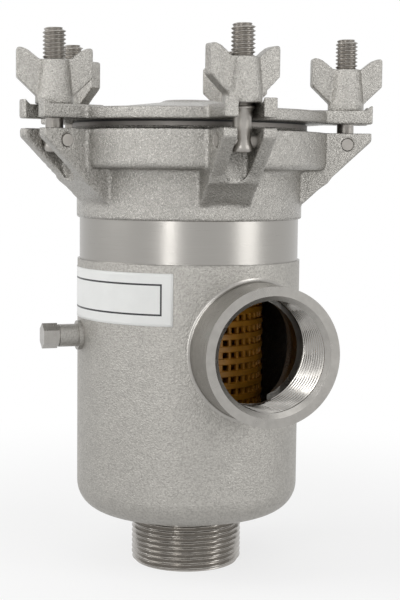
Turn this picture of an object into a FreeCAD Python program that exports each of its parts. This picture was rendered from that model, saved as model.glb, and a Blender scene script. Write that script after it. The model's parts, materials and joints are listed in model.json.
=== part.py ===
import FreeCAD, Part
import math
import os
from types import SimpleNamespace

import Sketcher
from FreeCAD import Placement, Rotation, Vector

# A stainless sea water strainer: a cast pot with a threaded side inlet and a threaded
# outlet below, a moulded basket inside, and a lid held by five swing bolts with wing nuts.
# Millimetres, +Z up, origin at the centre of the outlet's lower end.  The first swing bolt
# stands over -Y and the inlet opens towards -Y.

SIZES = {
    # pot
    "pot_radius": 48.0,
    "pot_wall": 3.0,
    "pot_underside": 18.4,
    "floor_thickness": 3.0,
    "pot_corner": 12.0,
    "shoulder_height": 132.7,
    "neck_radius": 47.1,
    "neck_top": 152.3,
    # outlet
    "outlet_radius": 23.9,
    "outlet_bore": 19.5,
    "outlet_bevel": 1.4,
    "outlet_stub": 4.0,
    "outlet_neck": 22.9,
    "outlet_run_out": 0.8,
    # inlet socket
    "inlet_height": 97.5,
    "inlet_offset": 14.5,
    "inlet_reach": 67.0,
    "socket_radius": 28.2,
    "thread_minor_radius": 22.42,
    "thread_depth": 25.0,
    "mouth_bevel": 2.0,
    "relief_step": 1.6,
    "relief_width": 3.0,
    "port_radius": 21.0,
    "socket_blend": 1.6,
    # drain boss and its plug
    "plug_height": 100.4,
    "boss_radius": 4.8,
    "boss_reach": 57.4,
    "boss_foot_radius": 6.2,
    "boss_foot_length": 1.6,
    "plug_bore": 3.0,
    "plug_shank_length": 6.0,
    "plug_flats": 9.3,
    "plug_head_length": 6.4,
    "plug_groove": 0.7,
    # head casting
    "head_radius": 48.4,
    "head_bore": 44.2,
    "band_radius": 58.8,
    "band_bottom": 173.2,
    "band_top": 186.8,
    "band_blend": 2.5,
    "rim_radius": 50.4,
    "rim_top": 188.6,
    # brackets
    "bolt_circle": 66.8,
    "bracket_width": 21.4,
    "bracket_drop": 9.8,
    "bracket_corner": 183.4,
    "bracket_top": 186.8,
    "bracket_beyond_pin": 10.2,
    "bracket_round": 1.6,
    "slot_width": 10.4,
    "slot_flat": 0.01,
    "slot_root_gap": 0.4,
    "slot_sill": 166.6,
    "pin_height": 182.0,
    "pin_radius": 2.45,
    # swing bolts
    "bolt_radius": 4.7,
    "bolt_rise": 44.6,
    "bolt_bevel": 0.9,
    "eye_radius": 7.5,
    "eye_width": 9.8,
    "eye_clearance": 0.15,
    # lid
    "gasket_thickness": 2.0,
    "gasket_inner": 45.2,
    "gasket_outer": 49.4,
    "lid_thickness": 5.0,
    "lid_round": 1.0,
    "dome_foot": 46.0,
    "dome_shoulder": 13.0,
    "dome_rise": 3.6,
    "button_radius": 11.0,
    "button_rise": 1.0,
    "lug_width": 21.0,
    "lug_root": 50.0,
    "lug_lift": 0.8,
    "lip_rise": 2.0,
    "lip_gap": 0.35,
    "lip_slope": 1.8,
    "lip_width": 0.7,
    "lid_slot_width": 10.2,
    "lid_slot_gap": 0.3,
    # wing nuts
    "nut_foot_radius": 7.7,
    "nut_crown_radius": 6.3,
    "nut_foot_height": 2.6,
    "nut_foot_bevel": 0.75,
    "nut_height": 17.7,
    "nut_clearance": 0.12,
    "wing_reach": 15.2,
    "wing_thickness": 5.6,
    "wing_corner": 10.4,
    "wing_top": 22.4,
    "wing_crest": 3.6,
    "wing_droop": 0.4,
    "wing_tip_round": 1.2,
    # basket
    "basket_radius": 32.0,
    "basket_wall": 2.2,
    "basket_hoop_step": 1.2,
    "basket_hoop_height": 6.0,
    "basket_cap_height": 168.0,
    "basket_cap_thickness": 3.0,
    "basket_fit": 0.3,
    "window_width": 11.0,
    "window_share": 0.7,
    "window_rows": 7,
    "window_columns": 10,
    "handle_span": 34.0,
    "handle_thickness": 6.0,
    "handle_bar": 5.0,
    "handle_round": 5.0,
}

BOLT_COUNT = 5
NUT_TURNS = (10.5, -83.5, 18.5, 84.5, 64.5)


class Size:
    """A size's value together with the formula that ties it to the sheet."""

    def __init__(self, value, formula):
        self.value = value
        self.formula = formula

    def joined(self, sign, other, value):
        return Size(value, f"({self.formula} {sign} {formula_of(other)})")

    def __add__(self, other):
        return self.joined("+", other, self.value + value_of(other))

    def __sub__(self, other):
        return self.joined("-", other, self.value - value_of(other))

    def __mul__(self, other):
        return self.joined("*", other, self.value * value_of(other))

    def __truediv__(self, other):
        return self.joined("/", other, self.value / value_of(other))

    def __neg__(self):
        return Size(-self.value, f"(-{self.formula})")


def value_of(size):
    return size.value if isinstance(size, Size) else size


def formula_of(size):
    return size.formula if isinstance(size, Size) else str(size)


def fill_sheet(doc):
    """Writes the driving sizes into the sheet and returns them by name."""
    sheet = doc.addObject("Spreadsheet::Sheet", "Sizes")
    named = SimpleNamespace()
    for row, (name, value) in enumerate(SIZES.items(), start=1):
        sheet.set(f"A{row}", name)
        sheet.set(f"B{row}", str(value))
        sheet.setAlias(f"B{row}", name)
        setattr(named, name, Size(value, f"Sizes.{name}"))
    doc.recompute()
    return named


def bind(thing, path, size):
    """Ties one property to a size, or sets it where the size is a plain number."""
    if isinstance(size, Size):
        thing.setExpression(path, size.formula)
    else:
        setattr(thing, path, size)


# --- Sketches -----------------------------------------------------------------

def new_body(doc, label):
    body = doc.addObject("PartDesign::Body", label)
    body.Label = label
    return body


def new_sketch(body, name, role, lift=0):
    """A sketch on one of the body's own planes, lifted along that plane's normal."""
    sketch = body.newObject("Sketcher::SketchObject", name)
    plane = next(item for item in body.Origin.OriginFeatures if item.Role == role)
    sketch.AttachmentSupport = [(plane, "")]
    sketch.MapMode = "FlatFace"
    sketch.AttachmentOffset = Placement(Vector(0, 0, value_of(lift)), Rotation())
    if isinstance(lift, Size):
        sketch.setExpression("AttachmentOffset.Base.z", lift.formula)
    return sketch


def add_size(sketch, constraint, size):
    index = sketch.addConstraint(constraint)
    if isinstance(size, Size):
        sketch.setExpression(f"Constraints[{index}]", size.formula)


def place_point(sketch, shape, point, across, up):
    """Ties a point of the sketch to its distances from the sketch's origin."""
    for kind, size, axis in (("DistanceX", across, -2), ("DistanceY", up, -1)):
        value = value_of(size)
        if abs(value) < 1e-9:
            sketch.addConstraint(Sketcher.Constraint("PointOnObject", shape, point, axis))
        elif value > 0:
            add_size(sketch, Sketcher.Constraint(kind, -1, 1, shape, point, value), size)
        else:
            back = -size
            add_size(sketch, Sketcher.Constraint(kind, shape, point, -1, 1, -value), back)


def add_circle(sketch, across, up, radius):
    centre = Vector(value_of(across), value_of(up), 0)
    shape = sketch.addGeometry(Part.Circle(centre, Vector(0, 0, 1), value_of(radius)))
    place_point(sketch, shape, 3, across, up)
    add_size(sketch, Sketcher.Constraint("Radius", shape, value_of(radius)), radius)


def add_outline(sketch, corners):
    """A closed outline of straight runs.  A corner is (across, up) or (across, up, round)."""
    count = len(corners)
    points = [Vector(value_of(corner[0]), value_of(corner[1]), 0) for corner in corners]
    starts = list(points)
    ends = list(points)
    arcs = {}
    for index, corner in enumerate(corners):
        if len(corner) < 3:
            continue
        here = points[index]
        back = (points[index - 1] - here).normalize()
        ahead = (points[(index + 1) % count] - here).normalize()
        half = back.getAngle(ahead) / 2
        radius = value_of(corner[2])
        ends[index] = here + back * (radius / math.tan(half))
        starts[index] = here + ahead * (radius / math.tan(half))
        middle = here + (back + ahead).normalize() * (radius / math.sin(half))
        turn = (ends[index] - middle).cross(starts[index] - middle).z
        opening, closing = ends[index], starts[index]
        if turn < 0:
            opening, closing = closing, opening
        from_angle = math.atan2(opening.y - middle.y, opening.x - middle.x)
        to_angle = math.atan2(closing.y - middle.y, closing.x - middle.x)
        circle = Part.Circle(middle, Vector(0, 0, 1), radius)
        arcs[index] = (Part.ArcOfCircle(circle, from_angle, to_angle), turn > 0)
    first = sketch.GeometryCount
    for index in range(count):
        sketch.addGeometry(Part.LineSegment(starts[index], ends[(index + 1) % count]))
    for index, corner in enumerate(corners):
        before = first + (index - 1) % count
        after = first + index
        if index not in arcs:
            sketch.addConstraint(Sketcher.Constraint("Coincident", before, 2, after, 1))
            place_point(sketch, after, 1, corner[0], corner[1])
            continue
        curve, forward = arcs[index]
        arc = sketch.addGeometry(curve)
        arrive, leave = (1, 2) if forward else (2, 1)
        sketch.addConstraint(Sketcher.Constraint("Tangent", before, 2, arc, arrive))
        sketch.addConstraint(Sketcher.Constraint("Tangent", after, 1, arc, leave))
        add_size(sketch, Sketcher.Constraint("Radius", arc, curve.Radius), corner[2])
        apex = sketch.addGeometry(Part.Point(points[index]), True)
        place_point(sketch, apex, 1, corner[0], corner[1])
        sketch.addConstraint(Sketcher.Constraint("PointOnObject", apex, 1, before))
        sketch.addConstraint(Sketcher.Constraint("PointOnObject", apex, 1, after))


def add_box(sketch, left, right, low, high):
    add_outline(sketch, [(left, low), (right, low), (right, high), (left, high)])


# --- Features -----------------------------------------------------------------

def turned(body, name, corners):
    """A solid of revolution about Z from its half section, given as (radius, height)."""
    sketch = new_sketch(body, f"{name}_section", "XZ_Plane")
    add_outline(sketch, corners)
    feature = body.newObject("PartDesign::Revolution", name)
    feature.Profile = sketch
    feature.ReferenceAxis = (sketch, ["V_Axis"])
    feature.Angle = 360
    return feature


def extruded(body, kind, name, sketch, length, symmetric=False, backwards=False):
    feature = body.newObject(f"PartDesign::{kind}", name)
    feature.Profile = sketch
    bind(feature, "Length", length)
    feature.Midplane = symmetric
    feature.Reversed = backwards
    return feature


def repeated(body, name, originals, copies):
    """Repeats features evenly around Z."""
    feature = body.newObject("PartDesign::PolarPattern", name)
    feature.Originals = originals
    axis = next(item for item in body.Origin.OriginFeatures if item.Role == "Z_Axis")
    feature.Axis = (axis, [""])
    feature.Angle = 360
    bind(feature, "Occurrences", copies)
    body.Tip = feature
    return feature


def window_pitch_of(s):
    """The height of one row, with the rows sharing the tube between its two hoops."""
    foot_top = s.pot_underside + s.floor_thickness + s.basket_hoop_height
    hoop_under = s.basket_cap_height - s.basket_hoop_height
    return (hoop_under - foot_top) / s.window_rows


def pierced(body, window, s):
    """Repeats the basket's first window up the wall and then around it."""
    axis = next(item for item in body.Origin.OriginFeatures if item.Role == "Z_Axis")
    rows = body.newObject("PartDesign::LinearPattern", "window_rows")
    rows.Direction = (axis, [""])
    bind(rows, "Length", window_pitch_of(s) * (s.window_rows - 1))
    bind(rows, "Occurrences", s.window_rows)
    columns = body.newObject("PartDesign::PolarPattern", "window_columns")
    columns.Axis = (axis, [""])
    columns.Angle = 360
    bind(columns, "Occurrences", s.window_columns)
    grid = body.newObject("PartDesign::MultiTransform", "window_grid")
    grid.Originals = [window]
    grid.Transformations = [rows, columns]
    body.Tip = grid


# --- Pot ----------------------------------------------------------------------

def make_inlet_bore(doc, s):
    """The tool that bores the inlet: a port, a relief groove, a thread and a bevelled mouth."""
    bore = doc.addObject("PartDesign::Body", "inlet_bore")
    relief_start = s.inlet_reach - s.thread_depth
    relief_end = relief_start - s.relief_width
    relief_radius = s.thread_minor_radius + s.relief_step
    mouth_radius = s.thread_minor_radius + s.mouth_bevel
    mouth_depth = s.inlet_reach - s.mouth_bevel
    turned(bore, "bore", [
        (0, 0),
        (s.port_radius, 0),
        (s.port_radius, relief_end),
        (relief_radius, relief_end),
        (relief_radius, relief_start),
        (s.thread_minor_radius, relief_start),
        (s.thread_minor_radius, mouth_depth),
        (mouth_radius, s.inlet_reach),
        (0, s.inlet_reach),
    ])
    bore.Placement = Placement(Vector(), Rotation(Vector(1, 0, 0), 90))
    bind(bore, "Placement.Base.x", s.inlet_offset)
    bind(bore, "Placement.Base.z", s.inlet_height)
    return bore


def bored(doc, name, solid, bore):
    """The solid with the inlet's bore cut out of it."""
    cut = doc.addObject("Part::Cut", name)
    cut.Label = name
    cut.Base = solid
    cut.Tool = bore
    return cut


def make_pot_shell(doc, s, inlet_bore):
    """The pot: a deep cup with a turned neck, a port for the inlet and a hole for the drain."""
    body = new_body(doc, "pot_before_boring")
    inner = s.pot_radius - s.pot_wall
    neck_inner = s.neck_radius - s.pot_wall
    floor_top = s.pot_underside + s.floor_thickness
    turned(body, "cup", [
        (s.outlet_neck, s.pot_underside),
        (s.pot_radius, s.pot_underside, s.pot_corner),
        (s.pot_radius, s.shoulder_height),
        (s.neck_radius, s.shoulder_height),
        (s.neck_radius, s.neck_top),
        (neck_inner, s.neck_top),
        (neck_inner, s.shoulder_height),
        (inner, s.shoulder_height - s.pot_wall),
        (inner, floor_top, s.pot_corner - s.pot_wall),
        (s.outlet_neck, floor_top),
    ])
    drain = new_sketch(body, "drain_circle", "YZ_Plane")
    add_circle(drain, 0, s.plug_height, s.plug_bore)
    extruded(body, "Pocket", "drain_hole", drain, s.boss_reach)
    return bored(doc, "pot_shell", body, inlet_bore)


def make_outlet_nipple(doc, s):
    """The threaded outlet, welded into the floor and standing a little above it inside."""
    body = new_body(doc, "outlet_nipple")
    top = s.pot_underside + s.floor_thickness + s.outlet_stub
    thread_end = s.pot_underside - s.outlet_run_out
    turned(body, "nipple", [
        (s.outlet_bore, 0),
        (s.outlet_radius - s.outlet_bevel, 0),
        (s.outlet_radius, s.outlet_bevel),
        (s.outlet_radius, thread_end),
        (s.outlet_neck, thread_end),
        (s.outlet_neck, top),
        (s.outlet_bore, top),
    ])
    return body


def intersection_edges(shape, radius, beyond):
    """The edges along which a socket meets the pot, as (number, radius, radius)."""
    return [
        (number, radius, radius)
        for number, edge in enumerate(shape.Edges, start=1)
        if not isinstance(edge.Curve, (Part.Line, Part.Circle))
        and edge.BoundBox.YMax < beyond
    ]


def make_inlet_socket(doc, s, inlet_bore):
    """The inlet socket: a bored tube that meets the pot off centre with a blended root."""
    tube = doc.addObject("Part::Cylinder", "socket_tube")
    bind(tube, "Radius", s.socket_radius)
    bind(tube, "Height", s.inlet_reach)
    tube.Placement = Placement(Vector(), Rotation(Vector(1, 0, 0), 90))
    bind(tube, "Placement.Base.x", s.inlet_offset)
    bind(tube, "Placement.Base.z", s.inlet_height)
    pot = doc.addObject("Part::Cylinder", "pot_outside")
    bind(pot, "Radius", s.pot_radius)
    bind(pot, "Height", s.shoulder_height)
    joined = doc.addObject("Part::Fuse", "socket_on_pot")
    joined.Base = pot
    joined.Tool = tube
    doc.recompute()
    blended = doc.addObject("Part::Fillet", "socket_blended")
    blended.Base = joined
    blended.Edges = intersection_edges(joined.Shape, s.socket_blend.value, 0)
    freed = doc.addObject("Part::Cut", "socket_saddle")
    freed.Base = blended
    freed.Tool = pot
    return bored(doc, "inlet_socket", freed, inlet_bore)


def make_drain_boss(doc, s):
    """The small boss welded to the pot's side, bored for the plug."""
    tube = doc.addObject("PartDesign::Body", "drain_boss_turned")
    foot_end = s.pot_radius + s.boss_foot_length
    turned(tube, "boss", [
        (s.plug_bore, 0),
        (s.boss_foot_radius, 0),
        (s.boss_foot_radius, foot_end),
        (s.boss_radius, foot_end),
        (s.boss_radius, s.boss_reach),
        (s.plug_bore, s.boss_reach),
    ])
    tube.Placement = Placement(Vector(), Rotation(Vector(0, 1, 0), -90))
    bind(tube, "Placement.Base.z", s.plug_height)
    pot = doc.addObject("Part::Cylinder", "pot_behind_boss")
    bind(pot, "Radius", s.pot_radius)
    bind(pot, "Height", s.shoulder_height)
    boss = doc.addObject("Part::Cut", "drain_boss")
    boss.Label = "drain_boss"
    boss.Base = tube
    boss.Tool = pot
    return boss


def make_drain_plug(doc, s):
    """The hex-head drain plug, its shank in the boss and its head clear of a thin groove."""
    body = new_body(doc, "drain_plug")
    head_start = s.boss_reach + s.plug_groove
    turned(body, "shank", [
        (0, s.boss_reach - s.plug_shank_length),
        (s.plug_bore, s.boss_reach - s.plug_shank_length),
        (s.plug_bore, s.boss_reach),
        (s.boss_radius - s.plug_groove, s.boss_reach),
        (s.boss_radius - s.plug_groove, head_start),
        (0, head_start),
    ])
    hexagon = new_sketch(body, "hexagon", "XY_Plane", head_start)
    flat = s.plug_flats / 2
    point = flat * (2 / math.sqrt(3))
    half_point = point / 2
    add_outline(hexagon, [
        (point, 0), (half_point, flat), (-half_point, flat),
        (-point, 0), (-half_point, -flat), (half_point, -flat),
    ])
    extruded(body, "Pad", "plug_head", hexagon, s.plug_head_length)
    body.Placement = Placement(Vector(), Rotation(Vector(0, 1, 0), -90))
    bind(body, "Placement.Base.z", s.plug_height)
    return body


# --- Head and its clamps ------------------------------------------------------

def make_head_casting(doc, s):
    """The head: a collar with a deep band and five slotted brackets for the swing bolts."""
    body = new_body(doc, "head_casting")
    collar = turned(body, "collar", [
        (s.head_bore, s.neck_top),
        (s.head_radius, s.neck_top),
        (s.head_radius, s.band_bottom, s.band_blend),
        (s.band_radius, s.band_bottom, s.band_blend),
        (s.band_radius, s.band_top),
        (s.rim_radius, s.band_top),
        (s.rim_radius, s.rim_top),
        (s.head_bore, s.rim_top),
    ])
    root = s.head_radius - s.pot_wall / 2
    foot = s.slot_sill - s.bracket_drop
    reach = s.bolt_circle + s.bracket_beyond_pin
    side = new_sketch(body, "bracket_side", "YZ_Plane")
    add_outline(side, [
        (-root, foot),
        (-s.head_radius, foot),
        (-reach, s.bracket_corner, s.bracket_round),
        (-reach, s.bracket_top),
        (-root, s.bracket_top),
    ])
    bracket = extruded(body, "Pad", "bracket", side, s.bracket_width, symmetric=True)
    slot_root = slot_root_of(s)
    half_slot = s.slot_width / 2
    slot_end = half_slot - s.slot_flat
    slot_top = s.bracket_top + s.slot_width
    front = new_sketch(body, "slot_front", "XZ_Plane", slot_root)
    add_outline(front, [
        (-half_slot, s.slot_sill, slot_end),
        (half_slot, s.slot_sill, slot_end),
        (half_slot, slot_top),
        (-half_slot, slot_top),
    ])
    slot = extruded(body, "Pocket", "slot", front, reach, backwards=True)
    eye = new_sketch(body, "pin_circle", "YZ_Plane")
    add_circle(eye, -s.bolt_circle, s.pin_height, s.pin_radius)
    hole = extruded(body, "Pocket", "pin_hole", eye, s.band_radius, symmetric=True)
    repeated(body, "five_brackets", [bracket, slot, hole], BOLT_COUNT)
    return body


def slot_root_of(s):
    """How far from the axis a bracket's slot reaches inwards: just clear of the eye."""
    return s.bolt_circle - s.eye_radius - s.slot_root_gap


def stand_on_bolt_circle(body, s, index, height, turn=0):
    """Places a piece made about its own origin at one of the five bolts."""
    angle = 360 / BOLT_COUNT * index
    body.Placement = Placement(Vector(), Rotation(Vector(0, 0, 1), angle + turn))
    bind(body, "Placement.Base.x", s.bolt_circle * math.sin(math.radians(angle)))
    bind(body, "Placement.Base.y", s.bolt_circle * -math.cos(math.radians(angle)))
    bind(body, "Placement.Base.z", height)


def make_pivot_pin(doc, s, index):
    """The pin across one bracket, its ends flush with the cheeks."""
    body = new_body(doc, f"pivot_pin_{index + 1}")
    circle = new_sketch(body, "pin_end", "YZ_Plane")
    add_circle(circle, 0, 0, s.pin_radius)
    extruded(body, "Pad", "pin", circle, s.bracket_width, symmetric=True)
    stand_on_bolt_circle(body, s, index, s.pin_height)
    return body


def make_eye_bolt(doc, s, index):
    """A swing bolt: a round shank rising from a flat eye that turns on its pin."""
    body = new_body(doc, f"eye_bolt_{index + 1}")
    turned(body, "shank", [
        (0, s.eye_radius / 2),
        (s.bolt_radius, s.eye_radius / 2),
        (s.bolt_radius, s.bolt_rise - s.bolt_bevel),
        (s.bolt_radius - s.bolt_bevel, s.bolt_rise),
        (0, s.bolt_rise),
    ])
    ring = new_sketch(body, "eye_circle", "YZ_Plane")
    add_circle(ring, 0, 0, s.eye_radius)
    extruded(body, "Pad", "eye", ring, s.eye_width, symmetric=True)
    bore = new_sketch(body, "eye_bore_circle", "YZ_Plane")
    add_circle(bore, 0, 0, s.pin_radius + s.eye_clearance)
    extruded(body, "Pocket", "eye_bore", bore, s.band_radius, symmetric=True)
    stand_on_bolt_circle(body, s, index, s.pin_height)
    return body


def make_wing_nut(doc, s, index):
    """A cast wing nut: a tapered boss on a short foot, with two blunt wings."""
    body = new_body(doc, f"wing_nut_{index + 1}")
    bore = s.bolt_radius + s.nut_clearance
    turned(body, "boss", [
        (bore, 0),
        (s.nut_foot_radius, 0),
        (s.nut_foot_radius, s.nut_foot_height),
        (s.nut_crown_radius, s.nut_height),
        (bore, s.nut_height),
    ])
    wings = new_sketch(body, "wing_outline", "XZ_Plane")
    inner_foot = s.nut_foot_radius - s.nut_foot_bevel
    wing_root = bore + s.nut_clearance
    crown_start = s.nut_crown_radius - s.nut_clearance
    for side in (1, -1):
        add_outline(wings, [
            (wing_root * side, s.nut_foot_height),
            (inner_foot * side, s.nut_foot_height),
            (s.wing_reach * side, s.wing_corner, s.wing_tip_round),
            (s.wing_reach * side, s.wing_top, s.wing_tip_round),
            ((s.wing_reach - s.wing_crest) * side, s.wing_top - s.wing_droop, s.wing_reach / 2),
            (crown_start * side, s.nut_height),
            (wing_root * side, s.nut_height),
        ])
    extruded(body, "Pad", "wings", wings, s.wing_thickness, symmetric=True)
    stand_on_bolt_circle(body, s, index, lug_seat_of(s), NUT_TURNS[index])
    return body


# --- Lid ----------------------------------------------------------------------

def lid_underside_of(s):
    return s.rim_top + s.gasket_thickness


def lug_seat_of(s):
    """The height of the lug tops, on which the wing nuts sit."""
    return lid_underside_of(s) + s.lid_thickness + s.lug_lift


def make_lid_gasket(doc, s):
    body = new_body(doc, "lid_gasket")
    turned(body, "gasket", [
        (s.gasket_inner, s.rim_top),
        (s.gasket_outer, s.rim_top),
        (s.gasket_outer, lid_underside_of(s)),
        (s.gasket_inner, lid_underside_of(s)),
    ])
    return body


def make_lid(doc, s):
    """The lid: a shallow dome on a flat rim, with five forked lugs that end in raised lips."""
    body = new_body(doc, "lid")
    underside = lid_underside_of(s)
    rim_top = underside + s.lid_thickness
    dome_top = rim_top + s.dome_rise
    turned(body, "plate", [
        (0, underside),
        (s.band_radius, underside),
        (s.band_radius, rim_top, s.lid_round),
        (s.dome_foot, rim_top),
        (s.dome_shoulder, dome_top),
        (s.button_radius, dome_top + s.button_rise),
        (0, dome_top + s.button_rise),
    ])
    seat = lug_seat_of(s)
    lip_foot = s.bolt_circle + s.nut_foot_radius + s.lip_gap
    lip_top = lip_foot + s.lip_slope
    lip_end = lip_top + s.lip_width
    profile = new_sketch(body, "lug_side", "YZ_Plane")
    add_outline(profile, [
        (-s.lug_root, underside),
        (-lip_end, underside),
        (-lip_end, seat + s.lip_rise),
        (-lip_top, seat + s.lip_rise),
        (-lip_foot, seat),
        (-s.lug_root, seat),
    ])
    lug = extruded(body, "Pad", "lug", profile, s.lug_width, symmetric=True)
    half_slot = s.lid_slot_width / 2
    slot_end = half_slot - s.slot_flat
    slot_root = s.bolt_circle - half_slot - s.lid_slot_gap
    plan = new_sketch(body, "lid_slot_plan", "XY_Plane", underside)
    add_outline(plan, [
        (-half_slot, -slot_root, slot_end),
        (-half_slot, -(lip_end + s.lid_slot_gap)),
        (half_slot, -(lip_end + s.lid_slot_gap)),
        (half_slot, -slot_root, slot_end),
    ])
    slot = extruded(body, "Pocket", "lid_slot", plan, s.dome_foot, backwards=True)
    repeated(body, "five_lugs", [lug, slot], BOLT_COUNT)
    return body


# --- Basket -------------------------------------------------------------------

def make_basket(doc, s):
    """The moulded basket: a pierced tube over the outlet, capped, with a lifting handle."""
    body = new_body(doc, "strainer_basket")
    floor_top = s.pot_underside + s.floor_thickness
    seat_radius = s.outlet_neck + s.basket_fit
    inner = s.basket_radius - s.basket_wall
    hoop = s.basket_radius + s.basket_hoop_step
    foot_top = floor_top + s.basket_hoop_height
    cap_under = s.basket_cap_height - s.basket_cap_thickness
    hoop_under = s.basket_cap_height - s.basket_hoop_height
    turned(body, "tube", [
        (seat_radius, floor_top),
        (hoop, floor_top),
        (hoop, foot_top),
        (s.basket_radius, foot_top),
        (s.basket_radius, hoop_under),
        (hoop, hoop_under),
        (hoop, s.basket_cap_height),
        (0, s.basket_cap_height),
        (0, cap_under),
        (inner, cap_under),
        (inner, foot_top),
        (seat_radius, foot_top),
    ])
    window = new_sketch(body, "window_outline", "XZ_Plane")
    half_width = s.window_width / 2
    pitch = window_pitch_of(s)
    half_gap = pitch * (s.window_share / 2)
    middle = foot_top + pitch / 2
    add_box(window, -half_width, half_width, middle - half_gap, middle + half_gap)
    first_window = extruded(body, "Pocket", "window", window, hoop, backwards=True)
    pierced(body, first_window, s)
    arch = new_sketch(body, "handle_arch", "XZ_Plane")
    half_span = s.handle_span / 2
    finger = half_span - s.handle_bar
    handle_top = lid_underside_of(s)
    add_outline(arch, [
        (-half_span, s.basket_cap_height),
        (-finger, s.basket_cap_height),
        (-finger, handle_top - s.handle_bar, s.handle_round / 2),
        (finger, handle_top - s.handle_bar, s.handle_round / 2),
        (finger, s.basket_cap_height),
        (half_span, s.basket_cap_height),
        (half_span, handle_top, s.handle_round),
        (-half_span, handle_top, s.handle_round),
    ])
    extruded(body, "Pad", "handle", arch, s.handle_thickness, symmetric=True)
    return body


# --- The whole strainer -------------------------------------------------------

def make_strainer(doc, sizes):
    inlet_bore = make_inlet_bore(doc, sizes)
    pieces = [
        make_pot_shell(doc, sizes, inlet_bore),
        make_outlet_nipple(doc, sizes),
        make_inlet_socket(doc, sizes, inlet_bore),
        make_drain_boss(doc, sizes),
        make_drain_plug(doc, sizes),
        make_head_casting(doc, sizes),
        make_lid_gasket(doc, sizes),
        make_lid(doc, sizes),
        make_basket(doc, sizes),
    ]
    for index in range(BOLT_COUNT):
        pieces.append(make_pivot_pin(doc, sizes, index))
        pieces.append(make_eye_bolt(doc, sizes, index))
        pieces.append(make_wing_nut(doc, sizes, index))
    return pieces


def check_document(doc, pieces):
    """Stops if any object failed or any piece is not one sound solid."""
    for item in doc.Objects:
        if "Invalid" in item.State or "Error" in item.State:
            raise RuntimeError(f"{item.Label} failed: {item.State}")
    for piece in pieces:
        shape = piece.Shape
        if shape.isNull() or not shape.isValid() or len(shape.Solids) != 1:
            raise RuntimeError(f"{piece.Label} is not one sound solid")


def main():
    doc = FreeCAD.newDocument("sea_water_strainer")
    sizes = fill_sheet(doc)
    pieces = make_strainer(doc, sizes)
    doc.recompute()
    check_document(doc, pieces)
    os.makedirs("parts", exist_ok=True)
    for piece in pieces:
        piece.Shape.exportStep(f"parts/{piece.Label}.step")
        print(piece.Label, round(piece.Shape.Volume / 1000, 2), "cm3")


main()
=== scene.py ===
"""The finish of a stainless sea water strainer, laid out as a Blender add-on."""

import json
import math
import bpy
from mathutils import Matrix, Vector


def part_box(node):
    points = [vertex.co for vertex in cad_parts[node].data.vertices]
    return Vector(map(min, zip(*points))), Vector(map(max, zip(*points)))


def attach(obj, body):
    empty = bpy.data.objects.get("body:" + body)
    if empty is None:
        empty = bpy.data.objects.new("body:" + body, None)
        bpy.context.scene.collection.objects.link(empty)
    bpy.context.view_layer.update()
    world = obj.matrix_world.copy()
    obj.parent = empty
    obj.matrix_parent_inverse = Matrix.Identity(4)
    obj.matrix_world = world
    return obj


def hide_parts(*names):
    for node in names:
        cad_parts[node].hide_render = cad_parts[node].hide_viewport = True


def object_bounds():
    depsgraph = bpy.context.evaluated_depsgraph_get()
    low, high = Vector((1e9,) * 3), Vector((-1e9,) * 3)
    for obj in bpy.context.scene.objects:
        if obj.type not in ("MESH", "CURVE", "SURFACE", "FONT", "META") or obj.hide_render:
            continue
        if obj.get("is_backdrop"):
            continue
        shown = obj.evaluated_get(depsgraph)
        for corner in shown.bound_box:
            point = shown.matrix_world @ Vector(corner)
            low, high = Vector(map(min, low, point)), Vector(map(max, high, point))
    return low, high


bl_info = {
    "name": "Sea Water Strainer Finish",
    "version": (1, 0, 0),
    "blender": (4, 5, 0),
    "location": "View3D > Sidebar > Strainer",
    "description": "Threads, cast surfaces, basket, label and studio for a sea water strainer",
    "category": "Object",
}

import bmesh
import bpy
from bpy.props import (
    FloatProperty,
    FloatVectorProperty,
    IntProperty,
    PointerProperty,
)
from mathutils import Matrix, Vector

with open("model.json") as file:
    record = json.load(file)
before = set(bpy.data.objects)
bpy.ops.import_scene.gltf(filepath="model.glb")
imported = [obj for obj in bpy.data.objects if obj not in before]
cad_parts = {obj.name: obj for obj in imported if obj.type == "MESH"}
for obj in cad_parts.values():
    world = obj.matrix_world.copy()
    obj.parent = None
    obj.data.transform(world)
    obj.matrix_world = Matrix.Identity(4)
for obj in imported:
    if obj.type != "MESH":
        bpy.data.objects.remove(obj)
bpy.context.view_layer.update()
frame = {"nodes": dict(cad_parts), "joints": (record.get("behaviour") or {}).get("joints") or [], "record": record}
MM = 0.001
BOLT_COUNT = 5
POT_CORNER = 12.1 * MM
NECK_LOW = 132.7 * MM
BASKET_CAP = 168.0 * MM

# The swing bolts' lower ends, as radius and height above the pin in millimetres.
BOLT_FOOT = (
    (0.0, -4.6), (2.8, -4.5), (3.7, -4.0), (4.1, -3.0),
    (4.0, -1.8), (3.6, 0.2), (3.6, 11.2), (4.6, 12.4),
)
BOLT_RADIUS = 4.7 * MM
BOLT_BEVEL = 0.9 * MM
THREAD_START = 12.5 * MM
OUTLET_BEVEL = 1.4 * MM
HOOP_HEIGHT = 6.0 * MM
HOOP_STEP = 1.2 * MM
RIB_SHARE = 0.3
LABEL_STEP = 1.2 * MM

# How strongly the world lights, and how far the floor's white is from the strainer.
WORLD_LIGHT = 0.42
SHADOW_NEAR = 0.10
SHADOW_FAR = 0.34
SHADOW_WHITE = 0.72
LAMP_TARGET = (0.0, 0.0, 0.12)
# Each lamp: turn and rise in degrees, distance and size in metres, and power in watts.
LAMPS = {
    "key": (-19.0, 12.0, 0.9, (0.12, 0.8), 1.9),
    "left": (-80.0, 30.0, 0.9, (0.5, 0.7), 3.2),
    "fill": (62.0, 12.0, 1.0, (0.4, 0.9), 3.2),
    "top": (20.0, 75.0, 0.9, (0.6, 0.6), 1.0),
}
BACKGROUND_RAYS = ("Is Camera Ray", "Is Glossy Ray", "Is Transmission Ray")


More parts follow.
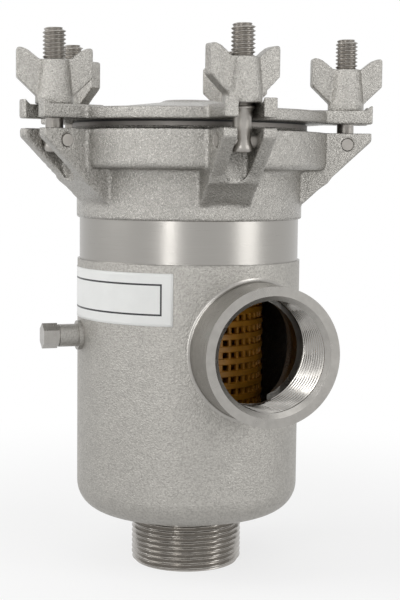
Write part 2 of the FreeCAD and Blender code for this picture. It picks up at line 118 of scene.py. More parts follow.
# --- What the frame says ------------------------------------------------------

def span(node, axis):
    """The lowest and highest value of a node's box along one axis."""
    low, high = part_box(node)
    return low[axis], high[axis]


def mount(name):
    return next(item for item in frame["record"]["mounts"] if item["name"] == name)


def joint_place(name):
    joint = next(item for item in frame["joints"] if item["name"] == name)
    return Vector(joint["pos_m"])


# --- Settings that a user would change ----------------------------------------

def length(name, description, millimetres):
    return FloatProperty(
        name=name, description=description, default=millimetres * MM,
        min=0.0, precision=5, unit="LENGTH", subtype="DISTANCE",
    )


def angle(name, description, degrees):
    return FloatProperty(
        name=name, description=description, default=math.radians(degrees), subtype="ANGLE",
    )


def colour(name, description, value):
    return FloatVectorProperty(
        name=name, description=description, default=value, size=3,
        min=0.0, max=1.0, subtype="COLOR",
    )


class StrainerThreads(bpy.types.PropertyGroup):
    pipe_pitch: length("Pipe pitch", "Pitch of the inlet and outlet threads", 2.309)
    pipe_depth: length("Pipe depth", "Depth of the pipe threads", 1.25)
    bolt_pitch: length("Bolt pitch", "Pitch of the swing bolts' threads", 1.5875)
    bolt_depth: length("Bolt depth", "Depth of the bolts' threads", 0.95)


class StrainerEdges(bpy.types.PropertyGroup):
    floor_lift: length("Floor lift", "Height of the pot's underside above the model's", 5.4)
    band_drop: length("Band drop", "Depth of the band's and foot's edges below the model's", 2.1)
    gasket_gap: length("Gasket gap", "Height of the dark line under the lid", 0.7)


class StrainerBasket(bpy.types.PropertyGroup):
    columns: IntProperty(
        name="Columns", description="Windows around the basket", default=48, min=8,
    )
    row_pitch: length("Row pitch", "Height from one row of windows to the next", 5.2)
    window_height: length("Window height", "Height of each window", 2.4)
    wall: length("Wall", "Thickness of the moulded wall", 2.0)


class StrainerLabel(bpy.types.PropertyGroup):
    height: length("Height", "Height of the label", 21.4)
    top: length("Top", "Distance from the pot's shoulder to the label's top", 3.4)
    border: length("Border", "Width of the black border line", 0.75)
    margin: length("Margin", "White margin outside the border line", 4.6)
    end_angle: angle("Front end", "Where the label ends towards the inlet", -24.7)
    sweep: angle("Sweep", "How far the label wraps round the pot", 112.0)


class StrainerColours(bpy.types.PropertyGroup):
    cast: colour("Cast steel", "Blasted cast stainless steel", (0.41, 0.396, 0.369))
    turned: colour("Turned steel", "Machined stainless steel", (0.35, 0.337, 0.316))
    bolt: colour("Bolt steel", "Stainless swing bolts", (0.36, 0.342, 0.318))
    # The rim's tint, darker than the cast steel, is painted shade under the lid's overhang.
    rim: colour("Rim", "Dull raised rim under the lid", (0.20, 0.187, 0.174))
    rubber: colour("Gasket", "Black rubber", (0.018, 0.018, 0.019))
    basket: colour("Basket", "Amber moulded plastic", (0.46, 0.20, 0.016))
    label: colour("Label", "White label film", (0.71, 0.715, 0.70))
    ink: colour("Border", "Printed border line", (0.02, 0.02, 0.022))
    floor: colour("Floor", "Studio floor and backdrop", (0.92, 0.92, 0.92))


class StrainerStudio(bpy.types.PropertyGroup):
    distance: length("Camera distance", "From the pot's axis to the camera", 590.0)
    height: length("Camera height", "Above the outlet's end", 171.0)
    azimuth: angle("Azimuth", "Camera's place round the strainer", -17.5)
    pitch: angle("Pitch", "Downward tilt", 5.48)
    yaw: angle("Yaw", "Turn to the right", 0.5)
    roll: angle("Roll", "Roll about the view", 0.6)
    lens: FloatProperty(
        name="Lens", description="Focal length on a 36 mm high frame", default=81.7, min=1.0,
    )


SETTINGS = {
    "strainer_threads": StrainerThreads,
    "strainer_edges": StrainerEdges,
    "strainer_basket": StrainerBasket,
    "strainer_label": StrainerLabel,
    "strainer_colours": StrainerColours,
    "strainer_studio": StrainerStudio,
}


def settings(name):
    return getattr(bpy.context.scene, name)


# --- Shader expressions -------------------------------------------------------

class Value:
    """One value of a node tree; arithmetic on it adds Math nodes to the tree."""

    def __init__(self, graph, socket):
        self.graph = graph
        self.socket = socket

    def _math(self, operation, *values):
        return self.graph.add(
            "ShaderNodeMath", {"operation": operation}, dict(enumerate(values)),
        )

    def __add__(self, other):
        return self._math("ADD", self, other)

    def __radd__(self, other):
        return self._math("ADD", other, self)

    def __sub__(self, other):
        return self._math("SUBTRACT", self, other)

    def __rsub__(self, other):
        return self._math("SUBTRACT", other, self)

    def __mul__(self, other):
        return self._math("MULTIPLY", self, other)

    def __rmul__(self, other):
        return self._math("MULTIPLY", other, self)

    def above(self, edge, softness):
        """0 below the edge and 1 above it, over the given softness."""
        return self.graph.add(
            "ShaderNodeMapRange", {"interpolation_type": "SMOOTHSTEP"},
            {"Value": self, "From Min": edge - softness, "From Max": edge + softness},
        )


class Graph:
    """A node tree whose nodes all come from one method."""

    def __init__(self, tree):
        self.tree = tree
        tree.nodes.clear()

    def plug(self, socket, value):
        if isinstance(value, Value):
            self.tree.links.new(value.socket, socket)
        elif socket.type == "RGBA" and len(value) == 3:
            socket.default_value = (*value, 1.0)
        else:
            socket.default_value = value

    def node(self, kind, options=None, inputs=None):
        """Adds a node of a type, with its settings first and then its inputs."""
        node = self.tree.nodes.new(kind)
        for name, value in (options or {}).items():
            setattr(node, name, value)
        for name, value in (inputs or {}).items():
            self.plug(node.inputs[name], value)
        return node

    def add(self, kind, options=None, inputs=None, output=0):
        return Value(self, self.node(kind, options, inputs).outputs[output])

    def background_rays(self):
        """1 for rays that show the background: seen directly, reflected or refracted."""
        unseen = 1.0
        for kind in BACKGROUND_RAYS:
            unseen = (1.0 - self.add("ShaderNodeLightPath", output=kind)) * unseen
        return 1.0 - unseen


class Finish(Graph):
    """A material with a Principled shader, built from nodes by name."""

    def __init__(self, name):
        self.material = bpy.data.materials.new(name)
        self.material.use_nodes = True
        super().__init__(self.material.node_tree)
        self.shader = self.node("ShaderNodeBsdfPrincipled")
        self.output = self.node("ShaderNodeOutputMaterial")
        self.show(Value(self, self.shader.outputs[0]))

    def show(self, surface):
        self.plug(self.output.inputs["Surface"], surface)

    def set(self, **sockets):
        for name, value in sockets.items():
            self.plug(self.shader.inputs[name.replace("_", " ").title()], value)
        return self

    def place(self):
        return self.add("ShaderNodeTexCoord", output="Object")

    def scaled(self, scale):
        """The object's own coordinates, scaled by a factor for each axis."""
        return self.add(
            "ShaderNodeVectorMath", {"operation": "MULTIPLY"}, {0: self.place(), 1: scale},
        )

    def axis(self, index):
        return self.add("ShaderNodeSeparateXYZ", inputs={0: self.place()}, output=index)

    def noise(self, scale, detail=3.0, roughness=0.55, vector=None):
        inputs = {"Scale": scale, "Detail": detail, "Roughness": roughness}
        inputs["Vector"] = vector or self.place()
        return self.add("ShaderNodeTexNoise", inputs=inputs)

    def blend(self, factor, first, second):
        return self.add(
            "ShaderNodeMix", {"data_type": "RGBA"}, {0: factor, 6: first, 7: second}, output=2,
        )

    def bump(self, height, distance, strength=1.0, normal=None):
        inputs = {"Height": height, "Distance": distance, "Strength": strength}
        if normal:
            inputs["Normal"] = normal
        return self.add("ShaderNodeBump", inputs=inputs)


# --- Finishes -----------------------------------------------------------------

def mottled(finish, tint, amount, scale):
    """A colour that drifts a little lighter and darker over the surface."""
    drift = finish.noise(scale, 4.0)
    dark = tuple(part * (1.0 - amount) for part in tint)
    light = tuple(min(1.0, part * (1.0 + amount)) for part in tint)
    return finish.blend(drift.above(0.5, 0.22), dark, light)


def cast_steel(name, grain, rough):
    """Blasted cast stainless: a fine pebbled skin that scatters the light."""
    finish = Finish(name)
    tint = settings("strainer_colours").cast
    pebbles = finish.noise(1300.0, 3.0, 0.65)
    fine = finish.noise(3600.0, 1.0, 0.5)
    waves = finish.noise(140.0, 2.0, 0.5)
    height = pebbles * 0.8 + fine * 0.3 + waves * 0.4
    pits = tuple(part * 0.70 for part in tint)
    skin = mottled(finish, tint, 0.06, 260.0)
    finish.set(
        base_color=finish.blend(pebbles.above(0.48, 0.2), pits, skin),
        metallic=1.0,
        roughness=(fine - 0.5) * 0.25 + rough,
        normal=finish.bump(height, grain * MM),
    )
    return finish.material


def pot_steel():
    """The pot: a blasted skin below a bright turned neck."""
    finish = Finish("pot_steel")
    colours = settings("strainer_colours")
    neck = finish.axis(2).above(NECK_LOW - 0.1 * MM, 0.15 * MM)
    grain = finish.noise(1500.0, 2.0, 0.6) * 0.7 + finish.noise(160.0, 2.0, 0.5) * 0.4
    rings = finish.noise(1.0, 2.0, 0.6, finish.scaled((60.0, 60.0, 5200.0)))
    pits = tuple(part * 0.78 for part in colours.cast)
    speck = finish.noise(1100.0, 2.0, 0.65).above(0.47, 0.16)
    skin = finish.blend(speck, pits, mottled(finish, colours.cast, 0.05, 180.0))
    bright = finish.blend(rings, tuple(part * 0.9 for part in colours.turned), colours.turned)
    finish.set(
        base_color=finish.blend(neck, skin, bright),
        metallic=1.0,
        roughness=0.5 - neck * 0.2 + (rings - 0.5) * 0.12 * neck,
        normal=finish.bump(
            rings * neck * 0.12, 0.10 * MM,
            normal=finish.bump(grain * (1.0 - neck), 0.46 * MM),
        ),
    )
    return finish.material


def turned_steel(name, tint, rough, lines, depth=0.03):
    """Machined stainless with fine tool lines along the given coordinates' scale."""
    finish = Finish(name)
    marks = finish.noise(1.0, 2.0, 0.6, finish.scaled(lines))
    finish.set(
        base_color=mottled(finish, tint, 0.06, 300.0),
        metallic=1.0,
        roughness=(marks - 0.5) * 0.18 + rough,
        normal=finish.bump(marks, depth * MM),
    )
    return finish.material


def rubber():
    finish = Finish("gasket_rubber")
    speck = finish.noise(2600.0, 2.0)
    finish.set(
        base_color=mottled(finish, settings("strainer_colours").rubber, 0.2, 500.0),
        roughness=(speck - 0.5) * 0.2 + 0.62,
        normal=finish.bump(speck, 0.03 * MM),
    )
    return finish.material


def amber_plastic():
    finish = Finish("amber_plastic")
    grain = finish.noise(900.0, 3.0)
    finish.set(
        base_color=mottled(finish, settings("strainer_colours").basket, 0.16, 220.0),
        roughness=(grain - 0.5) * 0.15 + 0.42,
        normal=finish.bump(grain, 0.04 * MM),
    )
    return finish.material


def label_film(name, tint):
    finish = Finish(name)
    fibre = finish.noise(1800.0, 2.0)
    finish.set(
        base_color=mottled(finish, tint, 0.02, 120.0),
        roughness=(fibre - 0.5) * 0.08 + 0.38,
        normal=finish.bump(fibre, 0.008 * MM),
    )
    return finish.material


# --- Meshes -------------------------------------------------------------------

def new_piece(name, mesh, material, body, smooth=True):
    piece = bpy.data.objects.new(name, mesh)
    bpy.context.scene.collection.objects.link(piece)
    if material:
        mesh.materials.append(material)
    for face in mesh.polygons:
        face.use_smooth = smooth
    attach(piece, body)
    return piece


def finish_node(node, material):
    """Gives a CAD node that keeps its shape its material."""
    mesh = frame["nodes"][node].data
    mesh.materials.clear()
    mesh.materials.append(material)


def applied(piece):
    """Bakes a piece's modifiers into its mesh."""
    graph = bpy.context.evaluated_depsgraph_get()
    mesh = bpy.data.meshes.new_from_object(piece.evaluated_get(graph))
    piece.modifiers.clear()
    old = piece.data
    piece.data = mesh
    bpy.data.meshes.remove(old)
    for face in mesh.polygons:
        face.use_smooth = True


def node_mesh(node, name, drop=None):
    """A welded copy of a node's mesh, without the faces that drop(centre) names."""
    shape = bmesh.new()
    shape.from_mesh(frame["nodes"][node].data)
    bmesh.ops.remove_doubles(shape, verts=shape.verts, dist=0.0005 * MM)
    if drop:
        unwanted = [face for face in shape.faces if drop(face)]
        bmesh.ops.delete(shape, geom=unwanted, context="FACES")
    mesh = bpy.data.meshes.new(name)
    shape.to_mesh(mesh)
    shape.free()
    mesh.materials.clear()
    return mesh


def softened(node, name, material, body, voxel, passes):
    """A casting with its edges rounded: the node's own form, remeshed and eased."""
    piece = new_piece(name, node_mesh(node, name), material, body)
    remesh = piece.modifiers.new("skin", "REMESH")
    remesh.mode = "VOXEL"
    remesh.voxel_size = voxel * MM
    ease = piece.modifiers.new("ease", "SMOOTH")
    ease.factor = 0.5
    ease.iterations = passes
    applied(piece)
    if not piece.data.materials:
        piece.data.materials.append(material)
    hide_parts(node)
    return piece


def turned_mesh(name, rings, steps, pitch=1.0, depth=0.0):
    """A lathe form in its own frame along +Z, with an optional helical thread.

    Each ring is (radius, height, cut), where cut is the share of the thread's depth there.
    A negative depth cuts outwards, for a thread inside a bore.
    """
    vertices = []
    for radius, height, cut in rings:
        for step in range(steps):
            turn = step / steps
            tooth = abs(((height / pitch - turn) % 1.0) * 2.0 - 1.0)
            tooth = min(1.0, max(0.0, tooth * 1.25 - 0.125))
            r = radius - depth * cut * (1.0 - tooth)
            angle = turn * math.tau
            vertices.append((r * math.cos(angle), r * math.sin(angle), height))
    faces = []
    for row in range(len(rings) - 1):
        for step in range(steps):
            after = (step + 1) % steps
            faces.append((
                row * steps + step, row * steps + after,
                (row + 1) * steps + after, (row + 1) * steps + step,
            ))
    mesh = bpy.data.meshes.new(name)
    mesh.from_pydata(vertices, [], faces)
    return mesh


def joined_bands(name, bands, segments):
    """Several short turned profiles round one axis, in one mesh."""
    vertices = []
    faces = []
    for band in bands:
        first = len(vertices)
        for ring, height in band:
            for step in range(segments):
                angle = math.tau * step / segments
                vertices.append((ring * math.cos(angle), ring * math.sin(angle), height))
        for row in range(len(band) - 1):
            for step in range(segments):
                a = first + row * segments + step
                b = first + row * segments + (step + 1) % segments
                faces.append((a, b, b + segments, a + segments))
    mesh = bpy.data.meshes.new(name)
    mesh.from_pydata(vertices, [], faces)
    return mesh


def threaded_rings(radius, low, high, pitch, fade_low, fade_high, per_pitch=14):
    """Rings up a thread, which fades in and out over the given lengths."""
    count = max(2, round((high - low) / pitch * per_pitch))
    rings = []
    for index in range(count + 1):
        height = low + (high - low) * index / count
        cut = 1.0
        if fade_low:
            cut = min(cut, (height - low) / fade_low)
        if fade_high:
            cut = min(cut, (high - height) / fade_high)
        rings.append((radius, height, cut))
    return rings


def ramp(value, low, high):
    """0 below low and 1 above high, with eased ends."""
    share = min(1.0, max(0.0, (value - low) / (high - low)))
    return share * share * (3.0 - 2.0 * share)


def sharp_by_angle(piece, degrees=30.0):
    """Keeps the machined edges crisp and the rest smooth."""
    shape = bmesh.new()
    shape.from_mesh(piece.data)
    bmesh.ops.recalc_face_normals(shape, faces=shape.faces)
    limit = math.radians(degrees)
    for edge in shape.edges:
        edge.smooth = len(edge.link_faces) == 2 and edge.calc_face_angle(0.0) < limit
    shape.to_mesh(piece.data)
    shape.free()


# --- Pieces -------------------------------------------------------------------

class StrainerOperator:
    bl_options = {"REGISTER", "UNDO"}

    @classmethod
    def poll(cls, context):
        return bool(frame["nodes"])


class STRAINER_OT_castings(StrainerOperator, bpy.types.Operator):
    """Finish the pot and round the castings of the head and lid"""

    bl_idname = "strainer.castings"
    bl_label = "Castings"

    def execute(self, context):
        self.dress_pot()
        head = cast_steel("head_steel", 0.58, 0.27)
        skin = softened("head_casting", "head_skin", head, "root", 0.75, 2)
        self.deepen_head(skin)
        softened("lid", "lid_skin", head, "root", 0.65, 2)
        finish_node("drain_boss", cast_steel("boss_steel", 0.10, 0.42))
        return {"FINISHED"}

    def deepen_head(self, skin):
        """Brings the head's band and its foot a little lower than the model's."""
        band_low, band_high = 162.0 * MM, 185.0 * MM
        foot_low = span("head_casting", 2)[0]
        for corner in skin.data.vertices:
            height = corner.co.z
            near = 1.0 - ramp(math.hypot(corner.co.x, corner.co.y), 59.0 * MM, 61.5 * MM)
            band = ramp(height, band_low, band_low + 10.0 * MM)
            band -= ramp(height, band_high - 8.0 * MM, band_high)
            foot = 1.0 - ramp(height, foot_low + 0.7 * MM, foot_low + 3.7 * MM)
            corner.co.z -= settings("strainer_edges").band_drop * (near * band + foot)

    def dress_pot(self):
        """The pot with its floor lifted, so that more of the outlet's thread stands clear."""
        pot = new_piece("pot_skin", node_mesh("pot_shell", "pot_skin"), pot_steel(),
                        "root")
        low = span("pot_shell", 2)[0]
        for corner in pot.data.vertices:
            if corner.co.z < low + POT_CORNER:
                corner.co.z += settings("strainer_edges").floor_lift
        sharp_by_angle(pot)
        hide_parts("pot_shell")


class STRAINER_OT_outlet(StrainerOperator, bpy.types.Operator):
    """Turn the threaded outlet"""

    bl_idname = "strainer.outlet"
    bl_label = "Outlet thread"

    def execute(self, context):
        threads = settings("strainer_threads")
        low = span("outlet_nipple", 2)[0]
        radius = mount("outlet")["dims"]["r_mm"] * MM
        bore = mount("outlet_bore")["dims"]["r_mm"] * MM
        top = span("pot_shell", 2)[0] + settings("strainer_edges").floor_lift + 1.0 * MM
        rings = [(bore, top, 0.0), (bore, low, 0.0), (radius - OUTLET_BEVEL, low, 0.0)]
        rings += [
            (min(ring, radius - OUTLET_BEVEL + (height - low)), height, cut)
            for ring, height, cut in threaded_rings(
                radius, low, top, threads.pipe_pitch, 1.2 * MM, 0.0,
            )
        ]
        rings += [(radius, top + 0.1 * MM, 0.0), (bore, top + 0.1 * MM, 0.0)]
        mesh = turned_mesh("outlet_thread", rings, 160, threads.pipe_pitch, threads.pipe_depth)
        steel = turned_steel(
            "outlet_steel", settings("strainer_colours").bolt, 0.24, (90.0, 90.0, 2500.0), 0.004,
        )
        piece = new_piece("outlet_thread", mesh, steel, "root")
        sharp_by_angle(piece)
        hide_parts("outlet_nipple")
        return {"FINISHED"}


class STRAINER_OT_inlet(StrainerOperator, bpy.types.Operator):
    """Cut the thread in the inlet socket"""

    bl_idname = "strainer.inlet"
    bl_label = "Inlet thread"

    def execute(self, context):
        threads = settings("strainer_threads")
        inlet = mount("inlet")
        radius = inlet["dims"]["r_mm"] * MM
        half = inlet["dims"]["length_mm"] * MM / 2
        centre = Vector(inlet["pos_m"])
        reach = -centre.y

        def on_thread(face):
            offsets = [
                math.hypot(corner.co.x - centre.x, corner.co.z - centre.z) - radius
                for corner in face.verts
            ]
            return max(abs(offset) for offset in offsets) < 0.02 * MM

        steel = turned_steel(
            "socket_steel", settings("strainer_colours").turned, 0.30, (160.0, 3800.0, 160.0),
        )
        piece = new_piece(
            "inlet_socket_body", node_mesh("inlet_socket", "inlet_socket_body", on_thread),
            steel, "root",
        )
        sharp_by_angle(piece)
        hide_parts("inlet_socket")
        rings = threaded_rings(
            radius, reach - half, reach + half, threads.pipe_pitch, 0.8 * MM, 0.8 * MM,
        )
        cut = turned_steel(
            "inlet_thread_steel", settings("strainer_colours").turned, 0.2,
            (60.0, 1500.0, 60.0), 0.004,
        )
        mesh = turned_mesh("inlet_thread", rings, 192, threads.pipe_pitch, -threads.pipe_depth)
        mesh.transform(
            Matrix.Translation((centre.x, 0, centre.z)) @ Matrix.Rotation(math.pi / 2, 4, "X"),
        )
        thread = new_piece("inlet_thread", mesh, cut, "root")
        sharp_by_angle(thread)
        return {"FINISHED"}


class STRAINER_OT_bolts(StrainerOperator, bpy.types.Operator):
    """Turn the threads of the five swing bolts and finish their pins"""

    bl_idname = "strainer.bolts"
    bl_label = "Swing bolts"

    def execute(self, context):
        threads = settings("strainer_threads")
        tint = settings("strainer_colours").bolt
        steel = turned_steel("bolt_steel", tint, 0.36, (500.0, 500.0, 3500.0))
        pin = turned_steel("pin_steel", tint, 0.55, (900.0, 900.0, 900.0))
        for number in range(1, BOLT_COUNT + 1):
            node = f"eye_bolt_{number}"
            pivot = joint_place(f"bolt_swing_{number}")
            top = span(node, 2)[1]
            rings = [(reach * MM, pivot.z + rise * MM, 0.0) for reach, rise in BOLT_FOOT]
            rings += [
                (min(ring, BOLT_RADIUS - BOLT_BEVEL + (top - height) * 0.8), height, cut)
                for ring, height, cut in threaded_rings(
                    BOLT_RADIUS, pivot.z + THREAD_START, top, threads.bolt_pitch,
                    1.6 * MM, 0.0, 12,
                )
            ]
            rings += [(0.0, top, 0.0)]
            mesh = turned_mesh(f"bolt_thread_{number}", rings, 48,
                               threads.bolt_pitch, threads.bolt_depth)
            mesh.transform(Matrix.Translation((pivot.x, pivot.y, 0)))
            thread = new_piece(f"bolt_thread_{number}", mesh, steel, node)
            sharp_by_angle(thread, 40.0)
            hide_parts(node)
            finish_node(f"pivot_pin_{number}", pin)
        return {"FINISHED"}


class STRAINER_OT_wing_nuts(StrainerOperator, bpy.types.Operator):
    """Round the five cast wing nuts"""

    bl_idname = "strainer.wing_nuts"
    bl_label = "Wing nuts"

    def execute(self, context):
        steel = cast_steel("nut_steel", 0.50, 0.29)
        for number in range(1, BOLT_COUNT + 1):
            node = f"wing_nut_{number}"
            softened(node, f"nut_skin_{number}", steel, node, 0.42, 3)
        return {"FINISHED"}


class STRAINER_OT_fittings(StrainerOperator, bpy.types.Operator):
    """Finish the drain plug and the lid gasket"""

    bl_idname = "strainer.fittings"
    bl_label = "Plug and gasket"

    def execute(self, context):
        tint = settings("strainer_colours").turned
        finish_node("drain_plug", turned_steel("plug_steel", tint, 0.3, (3500.0, 300.0, 300.0)))
        self.seat_gasket()
        return {"FINISHED"}

    def seat_gasket(self):
        """A rubber ring sunk in the head's raised rim, so that only a thin dark line shows."""
        low, high = span("lid_gasket", 2)
        inside = span("lid_gasket", 0)[1] - 4.2 * MM
        outside = span("lid_gasket", 0)[1] + 0.9 * MM
        rim_top = high - settings("strainer_edges").gasket_gap
        # The rim's darker tint is painted shade under the lid's overhang, not the steel's own colour.
        rim_painted_shade_tint = settings("strainer_colours").rim
        steel = turned_steel("rim_steel_painted_shade", rim_painted_shade_tint, 0.5, (300.0, 300.0, 2500.0))
        for name, shape, base, reach, height, slot in (
            ("rim_ring", steel, low - 0.4 * MM, outside, rim_top, "turned_steel"),
            ("gasket_line", rubber(), rim_top, outside - 0.7 * MM, high, "gasket_rubber"),
        ):
            corners = (
                (inside, base), (reach, base), (reach, height), (inside, height), (inside, base),
            )
            mesh = turned_mesh(name, [(ring, z, 0.0) for ring, z in corners], 96)
            piece = new_piece(name, mesh, shape, "root")
            sharp_by_angle(piece)
            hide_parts("lid_gasket")


class STRAINER_OT_basket(StrainerOperator, bpy.types.Operator):
    """Mould the pierced basket"""

    bl_idname = "strainer.basket"
    bl_label = "Basket"

    def execute(self, context):
        choice = settings("strainer_basket")
        low, high = span("strainer_basket", 2)
        radius = (span("strainer_basket", 0)[1] - span("strainer_basket", 0)[0]) / 2
        wall_radius = radius - HOOP_STEP
        foot = low + HOOP_HEIGHT
        wall_top = BASKET_CAP - HOOP_HEIGHT
        segments = choice.columns * 2
        rows = int((wall_top - foot) / choice.row_pitch)
        heights = [foot]
        for row in range(rows):
            sill = foot + choice.row_pitch * (row + 1) - choice.window_height
            heights += [sill, sill + choice.window_height]
        heights.append(wall_top)
        shape = bmesh.new()
        grid = []
        for height in heights:
            ring = []
            for segment in range(segments):
                share = segment // 2 + (RIB_SHARE if segment % 2 else 0.0)
                angle = math.tau * share / choice.columns
                place = (wall_radius * math.cos(angle), wall_radius * math.sin(angle), height)
                ring.append(shape.verts.new(place))
            grid.append(ring)
        for row in range(len(heights) - 1):
            for segment in range(segments):
                band = (segment // 2) % (choice.columns // 4)
                is_window = row % 2 == 1 and segment % 2 == 1 and band != 0
                if is_window:
                    continue
                after = (segment + 1) % segments
                shape.faces.new((
                    grid[row][segment], grid[row][after],
                    grid[row + 1][after], grid[row + 1][segment],
                ))
        mesh = bpy.data.meshes.new("basket_wall")
        shape.to_mesh(mesh)
        shape.free()
        plastic = amber_plastic()
        piece = new_piece("basket_wall", mesh, plastic, "root")
        thick = piece.modifiers.new("wall", "SOLIDIFY")
        thick.thickness = choice.wall
        thick.offset = -1.0
        edge = piece.modifiers.new("edges", "BEVEL")
        edge.width = 0.25 * MM
        edge.segments = 2
        edge.limit_method = "ANGLE"
        edge.angle_limit = math.radians(50)
        applied(piece)
        sharp_by_angle(piece, 40.0)
        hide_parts("strainer_basket")

        def in_wall(face):
            middle = face.calc_center_median()
            return foot - 0.5 * MM < middle.z < wall_top + 0.5 * MM

        bands = []
        for row in range(0, len(heights) - 1, 2):
            below, above = heights[row], heights[row + 1]
            inner, outer, edge = wall_radius - 0.3 * MM, wall_radius + 0.45 * MM, 0.35 * MM
            bands.append([
                (inner, below), (outer, below + edge), (outer, above - edge), (inner, above),
            ])
        hoops = joined_bands("basket_hoops", bands, 128)
        ribs = new_piece("basket_hoops", hoops, plastic, "root")
        sharp_by_angle(ribs, 60.0)
        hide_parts("strainer_basket")
        ends = new_piece("basket_ends", node_mesh("strainer_basket", "basket_ends", in_wall),
                         plastic, "root")
        for corner in ends.data.vertices:
            if corner.co.z < low + 3.0 * MM:
                corner.co.z += settings("strainer_edges").floor_lift
        sharp_by_angle(ends)
        return {"FINISHED"}


class STRAINER_OT_label(StrainerOperator, bpy.types.Operator):
    """Lay the bordered label round the pot"""

    bl_idname = "strainer.label"
    bl_label = "Label"

    def execute(self, context):
        choice = settings("strainer_label")
        colours = settings("strainer_colours")
        radius = (span("pot_shell", 0)[1] - span("pot_shell", 0)[0]) / 2 + 0.08 * MM
        top = NECK_LOW - choice.top
        bottom = top - choice.height

        def stops(low, high, margin):
            """Even steps across the film, with the border line's edges among them."""
            line = choice.border
            inner = [low + margin, low + margin + line, high - margin - line, high - margin]
            count = max(1, round((high - low) / LABEL_STEP))
            steps = [low + (high - low) * index / count for index in range(count + 1)]
            clear = [s for s in steps if min(abs(s - i) for i in inner) > LABEL_STEP * 0.3]
            return sorted(clear + inner), inner

        arc = radius * choice.sweep
        across, across_lines = stops(0.0, arc, choice.margin)
        up, up_lines = stops(bottom, top, choice.margin * 0.92)

        def on_border(x, z):
            in_x = across_lines[0] < x < across_lines[3]
            in_z = up_lines[0] < z < up_lines[3]
            core = across_lines[1] < x < across_lines[2] and up_lines[1] < z < up_lines[2]
            return in_x and in_z and not core

        vertices = []
        for z in up:
            for x in across:
                angle = -math.pi / 2 + choice.end_angle - x / radius
                vertices.append((radius * math.cos(angle), radius * math.sin(angle), z))
        faces = []
        inks = []
        width = len(across)
        for row in range(len(up) - 1):
            for column in range(width - 1):
                first = row * width + column
                faces.append((first, first + width, first + width + 1, first + 1))
                middle_x = (across[column] + across[column + 1]) / 2
                middle_z = (up[row] + up[row + 1]) / 2
                inks.append(1 if on_border(middle_x, middle_z) else 0)
        mesh = bpy.data.meshes.new("label")
        mesh.from_pydata(vertices, [], faces)
        piece = new_piece("label", mesh, label_film("label_white", colours.label), "root")
        mesh.materials.append(label_film("label_ink", colours.ink))
        for face, ink in zip(mesh.polygons, inks):
            face.material_index = ink
        thick = piece.modifiers.new("film", "SOLIDIFY")
        thick.thickness = 0.12 * MM
        thick.offset = 1.0
        applied(piece)
        return {"FINISHED"}


# --- Studio -------------------------------------------------------------------

def flat_square(name, half, height):
    mesh = bpy.data.meshes.new(name)
    corners = [(-half, -half, height), (half, -half, height),
               (half, half, height), (-half, half, height)]
    mesh.from_pydata(corners, [], [(0, 1, 2, 3)])
    square = bpy.data.objects.new(name, mesh)
    bpy.context.scene.collection.objects.link(square)
    return square


def backdrop_material(tint):
    """A pale floor that takes the object's shadow and fades to plain white further out."""
    finish = Finish("backdrop")
    finish.set(base_color=tint, roughness=0.9)
    reach = finish.add(
        "ShaderNodeVectorMath", {"operation": "LENGTH"}, {0: finish.place()}, output="Value",
    )
    far = reach.above((SHADOW_FAR + SHADOW_NEAR) / 2, (SHADOW_FAR - SHADOW_NEAR) / 2)
    white = finish.background_rays() * (far * (1.0 - SHADOW_WHITE) + SHADOW_WHITE)
    glow = finish.add("ShaderNodeEmission", inputs={"Color": (1.0, 1.0, 1.0), "Strength": 1.0})
    lit = Value(finish, finish.shader.outputs[0])
    finish.show(finish.add("ShaderNodeMixShader", inputs={0: white, 1: lit, 2: glow}))
    return finish.material


def add_lamp(name, place, target, size, power):
    data = bpy.data.lights.new(name, "AREA")
    data.shape = "RECTANGLE"
    data.size, data.size_y = size
    data.energy = power
    lamp = bpy.data.objects.new(name, data)
    bpy.context.scene.collection.objects.link(lamp)
    lamp.location = place
    lamp.rotation_euler = (Vector(target) - Vector(place)).to_track_quat("-Z", "Y").to_euler()
    return lamp


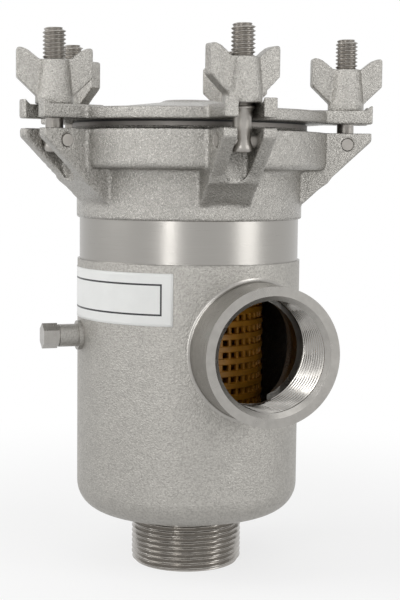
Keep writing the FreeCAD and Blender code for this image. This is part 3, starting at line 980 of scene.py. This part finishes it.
class STRAINER_OT_studio(StrainerOperator, bpy.types.Operator):
    """Set the floor, the lamps and the camera"""

    bl_idname = "strainer.studio"
    bl_label = "Studio"

    def execute(self, context):
        studio = settings("strainer_studio")
        scene = context.scene
        scene.view_settings.view_transform = "Standard"
        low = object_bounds()[0][2]
        floor = flat_square("floor", 3.0, low)
        floor.data.materials.append(backdrop_material(settings("strainer_colours").floor))
        floor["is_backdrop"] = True
        self.light_world(scene)
        self.place_camera(scene, studio)
        return {"FINISHED"}

    def light_world(self, scene):
        world = bpy.data.worlds.new("studio")
        scene.world = world
        world.use_nodes = True
        graph = Graph(world.node_tree)
        strength = graph.background_rays() * (1.0 - WORLD_LIGHT) + WORLD_LIGHT
        background = graph.add(
            "ShaderNodeBackground", inputs={"Color": (1.0, 1.0, 1.0), "Strength": strength},
        )
        graph.node("ShaderNodeOutputWorld", inputs={"Surface": background})
        azimuth = settings("strainer_studio").azimuth
        for name, (turn, rise, far, size, power) in LAMPS.items():
            around = azimuth + math.radians(turn)
            up = math.radians(rise)
            place = (
                far * math.sin(around) * math.cos(up),
                -far * math.cos(around) * math.cos(up),
                LAMP_TARGET[2] + far * math.sin(up),
            )
            add_lamp(name, place, LAMP_TARGET, size, power)

    def place_camera(self, scene, studio):
        data = bpy.data.cameras.new("camera")
        data.sensor_fit = "VERTICAL"
        data.sensor_height = 36.0
        data.lens = studio.lens
        camera = bpy.data.objects.new("camera", data)
        scene.collection.objects.link(camera)
        back = Vector((math.sin(studio.azimuth), -math.cos(studio.azimuth), 0.0))
        camera.location = back * studio.distance + Vector((0.0, 0.0, studio.height))
        heading = Matrix.Rotation(studio.azimuth - studio.yaw, 4, "Z")
        level = Matrix.Rotation(math.pi / 2 - studio.pitch, 4, "X")
        lean = Matrix.Rotation(studio.roll, 4, "Z")
        turn = heading @ level @ lean
        camera.rotation_euler = turn.to_euler()
        scene.camera = camera


# --- Panel and registration ---------------------------------------------------

PIECE_OPERATORS = (
    STRAINER_OT_castings,
    STRAINER_OT_outlet,
    STRAINER_OT_inlet,
    STRAINER_OT_bolts,
    STRAINER_OT_wing_nuts,
    STRAINER_OT_fittings,
    STRAINER_OT_basket,
    STRAINER_OT_label,
    STRAINER_OT_studio,
)


class STRAINER_PT_panel(bpy.types.Panel):
    """Lists the strainer's settings and steps"""

    bl_idname = "STRAINER_PT_panel"
    bl_label = "Sea water strainer"
    bl_space_type = "VIEW_3D"
    bl_region_type = "UI"
    bl_category = "Strainer"

    def draw(self, context):
        for name, group in SETTINGS.items():
            box = self.layout.box()
            box.label(text=name.split("_")[1].title())
            for field in group.__annotations__:
                box.prop(settings(name), field)
        for operator in PIECE_OPERATORS:
            self.layout.operator(operator.bl_idname)


def register():
    for name, group in SETTINGS.items():
        bpy.utils.register_class(group)
        setattr(bpy.types.Scene, name, PointerProperty(type=group))
    for operator in PIECE_OPERATORS:
        bpy.utils.register_class(operator)
    bpy.utils.register_class(STRAINER_PT_panel)


def unregister():
    bpy.utils.unregister_class(STRAINER_PT_panel)
    for operator in reversed(PIECE_OPERATORS):
        bpy.utils.unregister_class(operator)
    for name, group in reversed(list(SETTINGS.items())):
        delattr(bpy.types.Scene, name)
        bpy.utils.unregister_class(group)


def main():
    register()
    for operator in PIECE_OPERATORS:
        group, name = operator.bl_idname.split(".")
        getattr(getattr(bpy.ops, group), name)()


if __name__ == "__main__":
    main()
